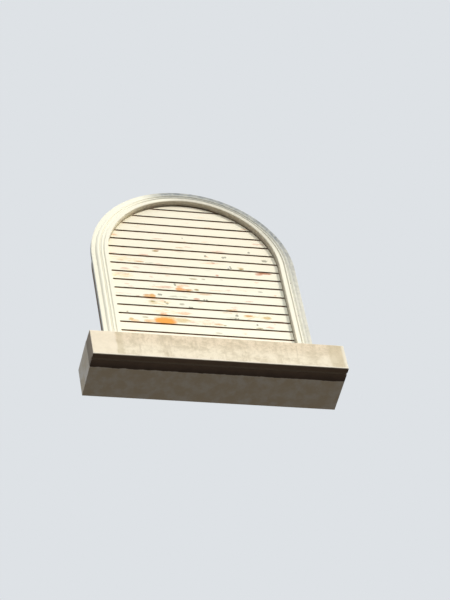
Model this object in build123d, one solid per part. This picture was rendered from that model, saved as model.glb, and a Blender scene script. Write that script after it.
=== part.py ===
from build123d import *
from math import cos, radians, sin, tan
import os

# Louvred gable vent with a semicircular head: a rebated timber frame with
# planted mouldings, fixed slanted slats, an insect screen and a stone sill.
# Millimetres. X runs to the right, Y inward and Z up. The origin is on
# the underside of the sill, below the middle of the vent, in the plane of the
# front of the frame.

# Opening and frame
OPENING_RADIUS = 243.5      # half the clear width, and the radius of the head
SPRING_HEIGHT = 394.0       # from the foot of the jambs to the centre of the head
NOSE_WIDTH = 12.0           # front edge of the frame inside the moulding
BODY_WIDTH = 34.0           # thickness of the jambs and the head behind the moulding
MOULDING_SEAT = 22.0        # depth of the front rebate that holds the moulding
FRAME_DEPTH = 72.0          # front of the nose to the back of the frame
SCREEN_REBATE_WIDTH = 10.0
SCREEN_REBATE_DEPTH = 10.0
NOSE_ARRIS = 1.2

# Planted moulding, from the nose outwards
MOULDING_WIDTH = 34.5
QUIRK_WIDTH = 3.0
QUIRK_DEPTH = 5.0           # front of the nose to the bottom of the quirks
BEAD_RADIUS = 2.7
HOLLOW_WIDTH = 5.6
HOLLOW_SAG = 1.6
ROUND_WIDTH = 8.0
ROUND_DROP = 3.5            # fall of the round from its start to its outer edge
ROUND_SAG = 2.0
LIP_SETBACK = 10.0          # front of the nose to the flat outer lip
FLATS_PER_BEAD = 4          # round members are made of a few flats
FLATS_PER_HOLLOW = 2
FLATS_PER_ROUND = 2

# Slats, counted from the crown downwards
SLAT_PITCH = 33.7           # rounded so that whole slats fill the height
SLAT_THICKNESS = 16.0
SLAT_ANGLE = 55.0           # rise of a slat towards the back, in degrees
SLAT_SETBACK = 15.0         # front of the nose to the plumb front of the slats
SLAT_BACK_GAP = 9.0         # plumb back of the slats to the screen
SLAT_SHOULDER = 8.0         # depth of the free front part of a slat
SLAT_END_GAP = 1.0          # free front part to the inside of the frame
SLAT_CROWN_DROP = 6.0       # further gap at the crown, which closes towards the spring line
TOP_SLAT_FACE = 17.3        # height of the front of the top slat below the crown
HOUSING_DEPTH = 6.0         # housings for the slats and for the rail

# Bottom rail
RAIL_FRONT_HEIGHT = 34.5
RAIL_BACK_HEIGHT = 52.0

# Insect screen
SCREEN_THICKNESS = 0.9      # fine wire cloth, made as a thin sheet
SCREEN_EDGE_PLAY = 1.0

# Sill
SILL_LENGTH = 692.0
SILL_OFFSET = -11.0         # middle of the sill from the middle of the vent
SILL_FACE_HEIGHT = 88.0
SILL_PROJECTION = 83.0      # front of the frame to the front of the sill
WASH_RISE = 7.0
STOOL_DEPTH = 37.0          # level seats at the ends, forward of the frame
ARRIS = 1.5
DRIP_SETBACK = 20.0         # front of the sill to the middle of the drip groove
DRIP_RADIUS = 4.0

# Square brads, which hold the mouldings and the battens
BRAD_WIDTH = 2.2
MOULDING_BRAD_LENGTH = 40.0
BATTEN_BRAD_BITE = 8.0      # length in the frame behind the screen rebate
BRADS_PER_JAMB = 3
BRADS_PER_ARCH = 8          # even, so that none falls on the crown joint
BATTEN_BRADS_PER_ARCH = 6   # even, for the same reason
BRADS_PER_RAIL = 3
JAMB_FOOT_MARGIN = 40.0     # foot of a jamb left free of batten brads

# Loose tenons across the joints of the frame
TENON_LENGTH = 50.0
TENON_WIDTH = 24.0
TENON_THICKNESS = 8.0
TENON_INSET = 20.0          # inside of the frame to the middle of a tenon
TENON_DEPTH = 42.0          # front of the nose to the middle of a tenon

# Holes for frame screws, sideways through the jambs
FIXING_HOLE_RADIUS = 2.75
FIXING_SPACING = 235.0      # between the two fixing holes of a jamb
FIXING_MARGIN = 4.5         # middle of a fixing hole to the screen rebate

# Clearances
HOUSING_FIT = 0.2
PLANT_FIT = 0.1
HOLE_FIT = 0.1
JOINT_FIT = 0.1

# Places worked out from the sizes above
SEAT_Z = SILL_FACE_HEIGHT + WASH_RISE
SPRING_Z = SEAT_Z + SPRING_HEIGHT
CROWN_Z = SPRING_Z + OPENING_RADIUS
REBATE_Y = FRAME_DEPTH - SCREEN_REBATE_DEPTH
SHOULDER_Y = SLAT_SETBACK + SLAT_SHOULDER
SLAT_BACK_Y = REBATE_Y - SLAT_BACK_GAP
BEAD_END = NOSE_WIDTH + QUIRK_WIDTH + 2 * BEAD_RADIUS
ROUND_START = BEAD_END + HOLLOW_WIDTH
SLAT_FACE = SLAT_THICKNESS / cos(radians(SLAT_ANGLE))
TOP_SLAT_Z = CROWN_Z - SLAT_END_GAP - SLAT_CROWN_DROP - TOP_SLAT_FACE
SLAT_REACH = TOP_SLAT_Z + SLAT_FACE - SEAT_Z - RAIL_FRONT_HEIGHT
SLAT_COUNT = round(SLAT_REACH / SLAT_PITCH)
SLAT_STEP = SLAT_REACH / SLAT_COUNT
RAIL_TOP_Z = SEAT_Z + RAIL_BACK_HEIGHT
RAIL_LEDGE_Z = RAIL_TOP_Z - SCREEN_REBATE_WIDTH
FIXING_Y = REBATE_Y - FIXING_MARGIN
FIXING_Z = SEAT_Z + SPRING_HEIGHT / 2
MOULDING_EDGE = OPENING_RADIUS + NOSE_WIDTH + MOULDING_WIDTH
SILL_LEFT = SILL_OFFSET - SILL_LENGTH / 2
SILL_RIGHT = SILL_OFFSET + SILL_LENGTH / 2
HEAD_AXIS = Axis((0, 0, SPRING_Z), (0, 1, 0))
SIDES = (("left", -1), ("right", 1))


def block(x0, x1, y0, y1, z0, z1):
    """A box between two values on each axis."""
    return Pos((x0 + x1) / 2, (y0 + y1) / 2, (z0 + z1) / 2) * Box(x1 - x0, y1 - y0, z1 - z0)


def rod(start, direction, radius, length):
    """A round rod from a point along a direction."""
    return extrude(Plane(origin=start, z_dir=direction) * Circle(radius), length)


def arched(half_width, y0, y1, bottom_z):
    """A round-headed slab: straight sides up to the spring line, then a half circle."""
    sides = block(-half_width, half_width, y0, y1, bottom_z, SPRING_Z)
    head = rod((0, y0, SPRING_Z), (0, 1, 0), half_width, y1 - y0)
    return sides + head


def mirrored(shape, side):
    """The right-hand shape itself, or its mirror image for the left."""
    return shape if side > 0 else mirror(shape, Plane.YZ)


# Sections of the frame, drawn level at the spring line on the right-hand side.

def at(inset, depth):
    """A point of a section: distance outside the opening, and depth behind the front."""
    return (OPENING_RADIUS + inset, depth)


def frame_section():
    outline = Polyline(
        at(0, 0), at(NOSE_WIDTH, 0), at(NOSE_WIDTH, MOULDING_SEAT), at(BODY_WIDTH, MOULDING_SEAT),
        at(BODY_WIDTH, FRAME_DEPTH), at(SCREEN_REBATE_WIDTH, FRAME_DEPTH),
        at(SCREEN_REBATE_WIDTH, REBATE_Y), at(0, REBATE_Y), close=True)
    face = make_face(outline)
    nose_corners = face.vertices().sort_by(Axis.Y)[:2]
    return chamfer(nose_corners, NOSE_ARRIS)


def flats(start, end, sag, count):
    """The inner points of an arc that is made as a few flats. It stands out for a positive sag."""
    arc = SagittaArc(start, end, -sag)
    return [arc @ (i / count) for i in range(1, count)]


def moulding_section():
    start, lip_end = NOSE_WIDTH + PLANT_FIT, NOSE_WIDTH + MOULDING_WIDTH
    back = MOULDING_SEAT - PLANT_FIT
    bead_start = at(NOSE_WIDTH + QUIRK_WIDTH, QUIRK_DEPTH)
    bead_end = at(BEAD_END, QUIRK_DEPTH)
    round_start = at(ROUND_START, QUIRK_DEPTH)
    round_end = at(ROUND_START + ROUND_WIDTH, QUIRK_DEPTH + ROUND_DROP)
    outline = [at(start, back), at(start, QUIRK_DEPTH), bead_start]
    outline += flats(bead_start, bead_end, BEAD_RADIUS, FLATS_PER_BEAD) + [bead_end]
    outline += flats(bead_end, round_start, -HOLLOW_SAG, FLATS_PER_HOLLOW) + [round_start]
    outline += flats(round_start, round_end, ROUND_SAG, FLATS_PER_ROUND) + [round_end]
    outline += [at(ROUND_START + ROUND_WIDTH, LIP_SETBACK), at(lip_end, LIP_SETBACK), at(lip_end, back)]
    return make_face(Polyline(outline, close=True))


def batten_section():
    outer = SCREEN_REBATE_WIDTH - PLANT_FIT
    front = REBATE_Y + SCREEN_THICKNESS
    return make_face(Polyline(at(0, front), at(outer, front), at(outer, FRAME_DEPTH),
                              at(0, FRAME_DEPTH), close=True))


def straight_run(section, side):
    """A section carried from the sill seat up to the spring line."""
    run = extrude(Plane.XY.offset(SEAT_Z) * section, SPRING_HEIGHT, dir=(0, 0, 1))
    return mirrored(run, side)


def curved_run(section, turn):
    """A section turned about the centre of the head, from the right spring upwards."""
    return revolve(Plane.XY.offset(SPRING_Z) * section, HEAD_AXIS, -turn)


# Slats and rail

def slat_section(bottom_z, grow=0.0):
    """The side view of a slat: plumb front and back, slanted faces. It can be grown for a housing."""
    rise = tan(radians(SLAT_ANGLE))
    lift = grow / cos(radians(SLAT_ANGLE))
    y0, y1 = SLAT_SETBACK - grow, SLAT_BACK_Y + grow
    low0 = bottom_z - lift - grow * rise
    low1 = low0 + (y1 - y0) * rise
    high = SLAT_FACE + 2 * lift
    return Polyline((y0, low0), (y1, low1), (y1, low1 + high), (y0, low0 + high), close=True)


def rail_section(grow=0.0):
    bevel_run = (RAIL_BACK_HEIGHT - RAIL_FRONT_HEIGHT) / tan(radians(SLAT_ANGLE))
    y0 = SLAT_SETBACK
    return Polyline(
        (y0, SEAT_Z), (y0, SEAT_Z + RAIL_FRONT_HEIGHT + grow), (y0 + bevel_run, RAIL_TOP_Z + grow),
        (REBATE_Y, RAIL_TOP_Z + grow), (REBATE_Y, RAIL_LEDGE_Z), (FRAME_DEPTH, RAIL_LEDGE_Z),
        (FRAME_DEPTH, SEAT_Z), close=True)


def crosswise(outline):
    """A side view carried across the vent, wider than the frame."""
    reach = OPENING_RADIUS + BODY_WIDTH
    return extrude(Plane.YZ * make_face(outline), reach, both=True)


def slat_bottom(index):
    return TOP_SLAT_Z - index * SLAT_STEP


def slat(index):
    """A slat whose ends follow the frame: just clear of it in front, housed behind the shoulder."""
    bar = crosswise(slat_section(slat_bottom(index)))
    free = Pos(0, 0, -SLAT_CROWN_DROP) * arched(OPENING_RADIUS - SLAT_END_GAP, 0, SHOULDER_Y, SEAT_Z)
    housed = arched(OPENING_RADIUS + HOUSING_DEPTH - HOUSING_FIT, SHOULDER_Y, FRAME_DEPTH, SEAT_Z)
    return bar & (free + housed)


def housing_zone():
    """The inside of the frame where slats and rail may be let in."""
    return arched(OPENING_RADIUS + HOUSING_DEPTH, SHOULDER_Y - HOUSING_FIT, REBATE_Y, SEAT_Z)


def housings():
    zone = housing_zone()
    bars = [crosswise(slat_section(slat_bottom(i), HOUSING_FIT)) for i in range(SLAT_COUNT)]
    bars.append(crosswise(rail_section(HOUSING_FIT)))
    return [bar & zone for bar in bars]


def bottom_rail():
    bar = crosswise(rail_section())
    between = block(-OPENING_RADIUS, OPENING_RADIUS, 0, FRAME_DEPTH, SEAT_Z, SPRING_Z)
    reach = OPENING_RADIUS + HOUSING_DEPTH - HOUSING_FIT
    tenons = block(-reach, reach, SHOULDER_Y, REBATE_Y, SEAT_Z, SPRING_Z)
    return drilled(bar & (between + tenons), holes(rail_batten_brads()))


# Brads and loose tenons

def brad(x, z, start, end):
    """A function that makes a square brad along Y from start to end, or its hole for a fit above 0."""
    def made(fit=0.0):
        half = BRAD_WIDTH / 2 + fit
        return block(x - half, x + half, start - fit, end + fit, z - half, z + half)
    return made


def moulding_brad(x, z):
    """A brad through the hollow of the moulding into the frame."""
    start = QUIRK_DEPTH + HOLLOW_SAG
    return brad(x, z, start, start + MOULDING_BRAD_LENGTH)


def batten_brad(x, z):
    """A brad through the middle of a batten and the screen, flush with the back of the frame."""
    return brad(x, z, REBATE_Y - BATTEN_BRAD_BITE, FRAME_DEPTH)


def along(start, end, count):
    """Evenly spread values from start to end."""
    return [start + (end - start) * (i + 0.5) / count for i in range(count)]


def on_head(radius, angle):
    """X and Z of a point on the head, with the angle counted from the right spring."""
    return radius * cos(radians(angle)), SPRING_Z + radius * sin(radians(angle))


def jamb_moulding_brads(side):
    x = side * (OPENING_RADIUS + BEAD_END + HOLLOW_WIDTH / 2)
    return [moulding_brad(x, z) for z in along(SEAT_Z, SPRING_Z, BRADS_PER_JAMB)]


def arch_moulding_brads():
    radius = OPENING_RADIUS + BEAD_END + HOLLOW_WIDTH / 2
    return [moulding_brad(*on_head(radius, a)) for a in along(0, 180, BRADS_PER_ARCH)]


def jamb_batten_brads(side):
    x = side * (OPENING_RADIUS + SCREEN_REBATE_WIDTH / 2)
    heights = along(SEAT_Z + JAMB_FOOT_MARGIN, SPRING_Z, BRADS_PER_JAMB)
    return [batten_brad(x, z) for z in heights]


def arch_batten_brads():
    radius = OPENING_RADIUS + SCREEN_REBATE_WIDTH / 2
    return [batten_brad(*on_head(radius, a)) for a in along(0, 180, BATTEN_BRADS_PER_ARCH)]


def rail_batten_brads():
    z = RAIL_TOP_Z - SCREEN_REBATE_WIDTH / 2
    return [batten_brad(x, z) for x in along(-OPENING_RADIUS, OPENING_RADIUS, BRADS_PER_RAIL)]


def every_batten_brad():
    return jamb_batten_brads(-1) + jamb_batten_brads(1) + arch_batten_brads() + rail_batten_brads()


def loose_tenons(fit=0.0):
    """Tenons across the two spring joints and the crown joint, or their mortises for a fit above 0."""
    half = TENON_LENGTH / 2 + fit
    wide = TENON_WIDTH / 2 + fit
    thick = TENON_THICKNESS / 2 + fit
    y0, y1 = TENON_DEPTH - wide, TENON_DEPTH + wide
    offset = OPENING_RADIUS + TENON_INSET
    crown_z = SPRING_Z + offset
    tenons = [block(x - thick, x + thick, y0, y1, SPRING_Z - half, SPRING_Z + half)
              for x in (-offset, offset)]
    tenons.append(block(-half, half, y0, y1, crown_z - thick, crown_z + thick))
    return tenons


# Timber pieces

def holes(brads):
    return [made(HOLE_FIT) for made in brads]


def drilled(piece, cuts):
    """A piece less the cuts that its own box reaches."""
    box = piece.bounding_box()
    near = [cut for cut in cuts if touches(box, cut.bounding_box())]
    return piece - near


def touches(box, other):
    """True where two boxes overlap on all three axes."""
    return all(getattr(box.min, axis) < getattr(other.max, axis)
               and getattr(other.min, axis) < getattr(box.max, axis) for axis in "XYZ")


def fixing_holes(side):
    start_x = side * (OPENING_RADIUS - HOUSING_DEPTH)
    length = BODY_WIDTH + 2 * HOUSING_DEPTH
    heights = (FIXING_Z - FIXING_SPACING / 2, FIXING_Z + FIXING_SPACING / 2)
    return [rod((start_x, FIXING_Y, z), (side, 0, 0), FIXING_HOLE_RADIUS, length) for z in heights]


def jamb(side, cuts):
    piece = straight_run(frame_section(), side)
    brads = jamb_moulding_brads(side) + jamb_batten_brads(side)
    return drilled(piece, cuts + fixing_holes(side) + holes(brads))


def head_half(side, cuts):
    piece = mirrored(curved_run(frame_section(), 90), side)
    return drilled(piece, cuts + holes(arch_moulding_brads() + arch_batten_brads()))


def insect_screen():
    """Fine wire cloth, made as a thin sheet: its holes are too small to model here."""
    half_width = OPENING_RADIUS + SCREEN_REBATE_WIDTH - SCREEN_EDGE_PLAY
    sheet = arched(half_width, REBATE_Y, REBATE_Y + SCREEN_THICKNESS, RAIL_LEDGE_Z + SCREEN_EDGE_PLAY)
    return drilled(sheet, holes(every_batten_brad()))


def stone_sill():
    """A sill with a sloped wash in front, level seats at its ends and a drip groove."""
    front = -SILL_PROJECTION
    side_view = Polyline((front, 0), (front, SILL_FACE_HEIGHT), (0, SEAT_Z), (FRAME_DEPTH, SEAT_Z),
                         (FRAME_DEPTH, 0), close=True)
    body = Pos(SILL_LEFT, 0, 0) * extrude(Plane.YZ * make_face(side_view), SILL_LENGTH)
    for x0, x1 in ((SILL_LEFT, -MOULDING_EDGE), (MOULDING_EDGE, SILL_RIGHT)):
        body += block(x0, x1, -STOOL_DEPTH, 0, SILL_FACE_HEIGHT, SEAT_Z)
    body -= rod((SILL_LEFT - ARRIS, front + DRIP_SETBACK, 0), (1, 0, 0), DRIP_RADIUS,
                SILL_LENGTH + 2 * ARRIS)
    front_edges = body.edges().group_by(Axis.Y)[0]
    return chamfer(front_edges, ARRIS)


def save(shape, node):
    export_step(shape, os.path.join("parts", node + ".step"))


def build():
    os.makedirs("parts", exist_ok=True)
    save(stone_sill(), "stone_sill")
    cuts = housings() + loose_tenons(HOLE_FIT)
    for name, side in SIDES:
        save(jamb(side, cuts), "jamb_" + name)
        save(head_half(side, cuts), "head_" + name)
        moulding = straight_run(moulding_section(), side)
        save(drilled(moulding, holes(jamb_moulding_brads(side))), "moulding_" + name)
        batten = straight_run(batten_section(), side)
        save(drilled(batten, holes(jamb_batten_brads(side))), "batten_" + name)
    arch = curved_run(moulding_section(), 180)
    save(drilled(arch, holes(arch_moulding_brads())), "moulding_arch")
    head_batten = curved_run(batten_section(), 180)
    save(drilled(head_batten, holes(arch_batten_brads())), "batten_head")
    foot_batten = block(-OPENING_RADIUS + JOINT_FIT, OPENING_RADIUS - JOINT_FIT,
                        REBATE_Y + SCREEN_THICKNESS, FRAME_DEPTH, RAIL_LEDGE_Z, RAIL_TOP_Z)
    save(drilled(foot_batten, holes(rail_batten_brads())), "batten_bottom")
    save(bottom_rail(), "bottom_rail")
    save(insect_screen(), "insect_screen")
    for index in range(SLAT_COUNT):
        save(slat(index), "slat_%02d" % (index + 1))
    save(Compound(children=loose_tenons()), "loose_tenons")
    moulding_brads = jamb_moulding_brads(-1) + jamb_moulding_brads(1) + arch_moulding_brads()
    save(Compound(children=[made() for made in moulding_brads]), "moulding_brads")
    save(Compound(children=[made() for made in every_batten_brad()]), "batten_brads")


build()
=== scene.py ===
# %% [markdown]
# # A weathered louvre vent
#
# The object is the round-headed timber vent of a gable: a moulded frame that holds eighteen slanted
# slats, on a stone sill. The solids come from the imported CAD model. This lesson gives them their
# looks: soft edges, old paint that has flaked from the slats, stained stone and wire cloth.
#
# Everything is in metres. X runs to the right as seen from in front, Y to the back and Z up.

# %% Load the CAD model
import bmesh
import bpy
import numpy as np
from mathutils import Matrix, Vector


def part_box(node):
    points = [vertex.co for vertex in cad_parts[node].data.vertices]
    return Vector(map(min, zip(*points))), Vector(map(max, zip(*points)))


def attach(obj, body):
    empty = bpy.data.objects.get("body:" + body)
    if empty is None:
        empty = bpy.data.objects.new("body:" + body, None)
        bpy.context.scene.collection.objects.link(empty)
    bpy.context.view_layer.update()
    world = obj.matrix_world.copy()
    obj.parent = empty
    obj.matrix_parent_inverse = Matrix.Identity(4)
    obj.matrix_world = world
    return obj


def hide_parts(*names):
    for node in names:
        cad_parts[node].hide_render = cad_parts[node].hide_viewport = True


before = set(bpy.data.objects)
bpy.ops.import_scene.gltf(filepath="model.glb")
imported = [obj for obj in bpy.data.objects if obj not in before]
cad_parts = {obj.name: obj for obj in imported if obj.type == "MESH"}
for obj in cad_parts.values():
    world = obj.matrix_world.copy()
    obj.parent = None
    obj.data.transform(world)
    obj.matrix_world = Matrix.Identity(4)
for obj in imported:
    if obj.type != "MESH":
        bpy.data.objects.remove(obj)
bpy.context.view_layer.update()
MM = 0.001
print("CAD nodes:", len(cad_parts))

# %% [markdown]
# ## Places taken from the frame
#
# A new piece has to sit where the CAD piece is, so its sizes are read from the boxes of the nodes.
# Only what a box can't tell, such as the slope of a slat, is written down here as a real size.

# %% Sizes of the vent
jamb_low, jamb_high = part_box("jamb_right")
slat_low, slat_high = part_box("slat_12")
mould_low, mould_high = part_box("moulding_right")
screen_low, screen_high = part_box("insect_screen")
sill_low, sill_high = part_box("stone_sill")

OPENING_RADIUS = jamb_low.x
SEAT_Z = jamb_low.z
SPRING_Z = jamb_high.z
SLAT_FRONT_Y = slat_low.y
SLAT_SLOPE = np.tan(np.radians(55.0))
SLAT_FACE = (slat_high.z - slat_low.z) - (slat_high.y - slat_low.y) * SLAT_SLOPE
SLAT_SHOULDER_Y = SLAT_FRONT_Y + 8.0 * MM  # in front of it the board stands free
SLAT_FREE_RADIUS = OPENING_RADIUS - 1.0 * MM
SLAT_CROWN_DROP = 6.0 * MM  # the free outline hangs lower than the arch
SLAT_HOUSED_RADIUS = slat_high.x
print("opening radius %.4f, slat face %.4f" % (OPENING_RADIUS, SLAT_FACE))

# %% [markdown]
# ## Camera
#
# The picture was taken from well below the vent and to its left, with a long lens. The place and
# the turn come from fitting the slat lines, the frame and the sill of the photograph. A turn could
# be three Euler angles, but a matrix made of the right, up and back directions shows plainly where
# the lens looks: first the yaw, then the pitch, and last the roll about the view line.

# %% Camera at the photograph's viewpoint
EYE = np.array([-1.7765, -4.7289, -4.8887])
VIEW_YAW, VIEW_PITCH, VIEW_ROLL = np.radians([21.25, 45.8, -11.76])
LENS_MM = 160.1


def in_scene(name, data):
    """A new object that shows a mesh, a lamp or a camera."""
    made = bpy.data.objects.new(name, data)
    bpy.context.scene.collection.objects.link(made)
    return made


forward = np.array([np.sin(VIEW_YAW) * np.cos(VIEW_PITCH), np.cos(VIEW_YAW) * np.cos(VIEW_PITCH),
                    np.sin(VIEW_PITCH)])
level_right = np.array([np.cos(VIEW_YAW), -np.sin(VIEW_YAW), 0.0])
level_up = np.cross(level_right, forward)
right = level_right * np.cos(VIEW_ROLL) + level_up * np.sin(VIEW_ROLL)
up = level_up * np.cos(VIEW_ROLL) - level_right * np.sin(VIEW_ROLL)

camera_data = bpy.data.cameras.new("portrait_camera")
camera_data.lens = LENS_MM
camera_data.clip_end = 200.0
camera = in_scene("portrait_camera", camera_data)
camera.matrix_world = Matrix.Translation(EYE) @ Matrix(np.column_stack([right, up, -forward])).to_4x4()
bpy.context.scene.camera = camera
print("camera at", EYE, "looking along", forward.round(3))

# %% [markdown]
# ## Node helpers
#
# A finish is a small graph of shader nodes. It could be clicked together in the editor, but written
# out it can be read and reused. `put` adds one node and fills its sockets, from a number or from
# another node's output. Colours are given as they look on screen, because that is how they were
# read off the photograph.

# %% Nodes, colours and materials
def colour(red, green, blue):
    """A colour given as it looks on screen, 0 to 255, as the linear values that shaders use."""
    share = np.array([red, green, blue]) / 255.0
    linear = np.where(share <= 0.04045, share / 12.92, ((share + 0.055) / 1.055) ** 2.4)
    return (*linear.tolist(), 1.0)


def put(tree, kind, inputs, **settings):
    """Adds a node. Each input is a constant or the output socket of another node."""
    node = tree.nodes.new(kind)
    for name, value in settings.items():
        setattr(node, name, value)
    for name, value in inputs.items():
        if isinstance(value, bpy.types.NodeSocket):
            tree.links.new(value, node.inputs[name])
        else:
            node.inputs[name].default_value = value
    return node


def mix(tree, amount, first, second):
    """A mix of two colours: the first where the amount is 0, the second where it is 1."""
    return put(tree, "ShaderNodeMix", {0: amount, 6: first, 7: second}, data_type="RGBA").outputs[2]


def blank(name):
    """A new material, with its node tree and its shader."""
    made = bpy.data.materials.new(name)
    made.use_nodes = True
    return made, made.node_tree, made.node_tree.nodes["Principled BSDF"]


def coat(piece, material):
    """Gives a piece one finish."""
    piece.data.materials.clear()
    piece.data.materials.append(material)


print("grey 128 in linear light: %.3f" % colour(128, 128, 128)[0])

# %% [markdown]
# ## Stage
#
# The vent is seen from far below, so the floor lies below the camera as well, where its tripod
# would stand. The camera looks past it into a pale backdrop. A pale floor would throw as much light
# on the undersides as comes from above, and their dark look would be lost. So the floor is pale to
# the camera, and darker to the light that bounces from it.

# %% Floor
FLOOR_Z = EYE[2] - 1.5
FLOOR_HALF = 60.0


def floor_finish():
    """Pale where the camera sees it, and darker for the light that it throws back."""
    made, tree, shader = blank("floor_pale")
    seen = tree.nodes.new("ShaderNodeLightPath").outputs["Is Camera Ray"]
    tint = mix(tree, seen, colour(110, 104, 96), colour(226, 227, 226))
    tree.links.new(tint, shader.inputs["Base Color"])
    shader.inputs["Roughness"].default_value = 0.9
    return made


floor_mesh = bpy.data.meshes.new("floor")
corners = FLOOR_HALF * np.array([[-1, -1], [1, -1], [1, 1], [-1, 1]], float)
floor_mesh.from_pydata(np.column_stack([corners, np.full(4, FLOOR_Z)]).tolist(), [], [(0, 1, 2, 3)])
floor = in_scene("floor", floor_mesh)
coat(floor, floor_finish())
print("floor at z =", round(FLOOR_Z, 2))

# %% [markdown]
# ## Light
#
# Late sun comes from the upper right, and open air fills the shade. One wide sun lamp gives the
# short soft shadow of the frame on the slats. The fill is a world whose brightness depends on the
# direction: strongest in front, weaker behind and dim below. Area lamps could do the same, but a
# world reaches every side, so the vent reads well from the back too.

# %% Sun and fill
SUN_RIGHT, SUN_HEIGHT, SUN_SOFTNESS = np.radians([37.0, 31.0, 7.0])
SUN_STRENGTH = 1.67
SKY_FRONT, SKY_BEHIND, SKY_BELOW = 1.36, 0.62, 0.08
SUN_TINT, SKY_TINT, BACKDROP_TINT = (1.0, 0.95, 0.84), (0.91, 0.96, 1.0, 1.0), colour(222, 226, 230)


def step(tree, value, start, end, low=0.0, high=1.0):
    """A soft threshold: low below start, high above end, an S curve between."""
    made = put(tree, "ShaderNodeMapRange", {"Value": value, "From Min": start, "From Max": end,
                                            "To Min": low, "To Max": high},
               interpolation_type="SMOOTHSTEP")
    return made.outputs["Result"]


sun_data = bpy.data.lights.new("key_sun", "SUN")
sun_data.energy = SUN_STRENGTH
sun_data.angle = SUN_SOFTNESS
sun_data.color = SUN_TINT
sun = in_scene("key_sun", sun_data)
sun.rotation_euler = (np.pi / 2 - SUN_HEIGHT, 0.0, SUN_RIGHT)

world = bpy.data.worlds.new("studio_sky")
bpy.context.scene.world = world
world.use_nodes = True
sky = world.node_tree
direction = sky.nodes.new("ShaderNodeTexCoord").outputs["Generated"]
direction = put(sky, "ShaderNodeSeparateXYZ", {0: direction}).outputs
around = step(sky, direction["Y"], -0.7, 0.9, SKY_FRONT, SKY_BEHIND)
above = step(sky, direction["Z"], -0.04, 0.30)
light = put(sky, "ShaderNodeMix", {0: above, 2: SKY_BELOW, 3: around}, data_type="FLOAT").outputs[0]
seen = sky.nodes.new("ShaderNodeLightPath").outputs["Is Camera Ray"]
sky_light = put(sky, "ShaderNodeBackground", {"Color": SKY_TINT, "Strength": light})
backdrop = put(sky, "ShaderNodeBackground", {"Color": BACKDROP_TINT, "Strength": 1.0})
both = put(sky, "ShaderNodeMixShader", {0: seen, 1: sky_light.outputs[0], 2: backdrop.outputs[0]})
sky.links.new(both.outputs[0], sky.nodes["World Output"].inputs["Surface"])
bpy.context.scene.view_settings.view_transform = "Standard"
print("sun strength", SUN_STRENGTH, "sky", SKY_FRONT, SKY_BEHIND, SKY_BELOW)

# %% [markdown]
# ## Mesh helpers
#
# A surface is worked out as whole arrays: a grid of points, rows by columns. `Shell` collects
# several grids and flat end caps, and puts them into one mesh. Neighbouring grids share their edge
# points in space, so merging points that coincide closes the seams.

# %% Grids into meshes
def points_at(x, y, z):
    """Points from one array or number for each axis, spread to a common shape."""
    return np.stack(np.broadcast_arrays(x, y, z), axis=-1)


def grid_faces(rows, columns, first, wrap_rows=False):
    """The corners of each cell of a grid whose points are numbered row by row from first."""
    row = np.arange(rows if wrap_rows else rows - 1)[:, None]
    column = np.arange(columns - 1)[None, :]
    after = (row + 1) % rows
    quads = np.stack([row * columns + column, after * columns + column,
                      after * columns + column + 1, row * columns + column + 1], axis=-1)
    return quads.reshape(-1, 4) + first


class Shell:
    """Grids and caps that become one closed mesh."""

    def __init__(self):
        self.points, self.faces, self.count = [], [], 0

    def grid(self, points, wrap_rows=False):
        """Adds a grid of points, an array of rows by columns by 3."""
        rows, columns = points.shape[:2]
        self.points.append(points.reshape(-1, 3))
        self.faces += grid_faces(rows, columns, self.count, wrap_rows).tolist()
        self.count += rows * columns

    def cap(self, ring):
        """Adds one flat face from a closed ring of points."""
        self.points.append(ring)
        self.faces.append(list(range(self.count, self.count + len(ring))))
        self.count += len(ring)

    def carried(self, points):
        """Adds a closed section carried along a line: a wrapped grid and a flat cap at each end."""
        self.grid(points, wrap_rows=True)
        self.cap(points[:, 0])
        self.cap(points[::-1, -1])
        return self

    def piece(self, name, merge=0.00002):
        """Makes the object, merges points that coincide and turns all faces outward."""
        mesh = bpy.data.meshes.new(name)
        mesh.from_pydata(np.concatenate(self.points).tolist(), [], self.faces)
        close_seams(mesh, merge)
        return in_scene(name, mesh)


def close_seams(mesh, merge):
    """Merges coinciding points, drops faces without area and points the rest outward."""
    work = bmesh.new()
    work.from_mesh(mesh)
    bmesh.ops.remove_doubles(work, verts=work.verts, dist=merge)
    bmesh.ops.dissolve_degenerate(work, edges=work.edges, dist=merge)
    bmesh.ops.recalc_face_normals(work, faces=work.faces)
    work.to_mesh(mesh)
    work.free()


print("faces of a tube of 4 by 3 points:", len(grid_faces(4, 3, 0, wrap_rows=True)))

# %% [markdown]
# ## Slats
#
# A slat is a board that rises steeply towards the back, with its front cut plumb. In front it stands
# free and ends a little short of the frame, more so under the crown. On the left the photograph
# shows no such gap below the haunch, so there the ends keep close to the frame. Behind a shoulder
# the board is let into the frame, and near the top its ends follow the arch. A cube with a Boolean
# cut would do, but it leaves no points on the front where the wear could be stored.
#
# So the slat is a bent box: the shares u and v, across and up, and the depth y give a point. Its six
# sides are grids over two of them with the third held at an end. Where the arch comes lower than the
# board, the height is cut to the crown, and the width shrinks to nothing there.

# %% The bent box
ACROSS, FACE_ROWS, FREE_ROWS, HOUSED_ROWS = 181, 13, 6, 7
CLOSE_BELOW_Z, LOOSE_ABOVE_Z = SPRING_Z + 90 * MM, SPRING_Z + 205 * MM


def ramp(value, start, end):
    """For arrays: 0 before start, 1 past end, and even in between."""
    return np.clip((value - start) / (end - start), 0.0, 1.0)


def outline_of(housed):
    """The outline's radius and the height of its middle. That of the free front hangs lower."""
    radius = np.where(housed, SLAT_HOUSED_RADIUS, SLAT_FREE_RADIUS)
    return radius, np.where(housed, SPRING_Z, SPRING_Z - SLAT_CROWN_DROP)


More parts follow.
